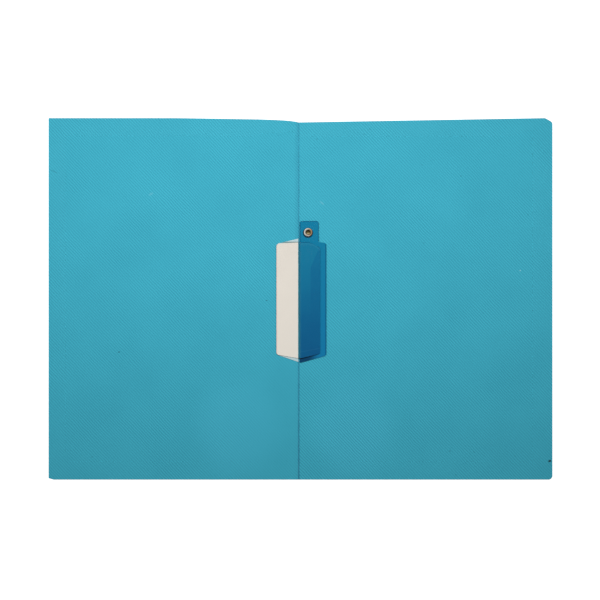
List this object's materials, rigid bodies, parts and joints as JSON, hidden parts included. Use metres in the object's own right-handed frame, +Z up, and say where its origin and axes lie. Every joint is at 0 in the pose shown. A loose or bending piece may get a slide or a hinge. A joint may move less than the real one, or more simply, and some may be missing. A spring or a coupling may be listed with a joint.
{
  "type": "clip folder",
  "caption": "Open A4 clip folder: two embossed plastic covers joined at a crease, and a clip that swings on an eyelet and folds with the covers.",
  "frame": {"origin": "on the table under the middle of the open folder, at the middle of the box's bottom face", "axes": "+X across the covers from the front cover to the back cover, +Y along the crease towards the top of a page, +Z up out of the inside faces"},
  "size_m": [0.432, 0.31, 0.0042],
  "materials": {
    "cover_plastic": "turquoise polypropylene sheet with a fine diagonal rib embossed in it, satin",
    "clip_plastic": "deep blue, slightly see-through folded plastic strip, glossy",
    "ivory_plastic": "ivory plastic plate, smooth satin",
    "frosted_film": "thin frosted film, pale blue-white",
    "plated_brass": "rolled brass eyelet with a worn pale plating"
  },
  "bodies": {
    "back_cover": {"back_cover": "cover_plastic", "eyelet": "plated_brass"},
    "front_cover": {"front_cover": "cover_plastic"},
    "clip": {"clip_body": "clip_plastic"},
    "clip_flap": {"flap_plate": "ivory_plastic", "flap_film": "frosted_film"}
  },
  "joints": [
    {"name": "cover_fold", "type": "hinge", "parent": "back_cover", "child": "front_cover", "pos_m": [-0.0015, 0, 0.00335], "axis": [0, 1, 0], "range_deg": [0, 179]},
    {"name": "clip_swing", "type": "hinge", "parent": "back_cover", "child": "clip", "pos_m": [0.0065, 0.0571, 0.0013], "axis": [0, 0, 1], "range_deg": [0, 90]},
    {"name": "flap_fold", "type": "hinge", "parent": "clip", "child": "clip_flap", "pos_m": [-0.0015, 0, 0.00335], "axis": [0, 1, 0], "range_deg": [0, 179]}
  ],
  "couplings": [
    {"joint": "flap_fold", "follows": "cover_fold", "ratio": 1}
  ]
}
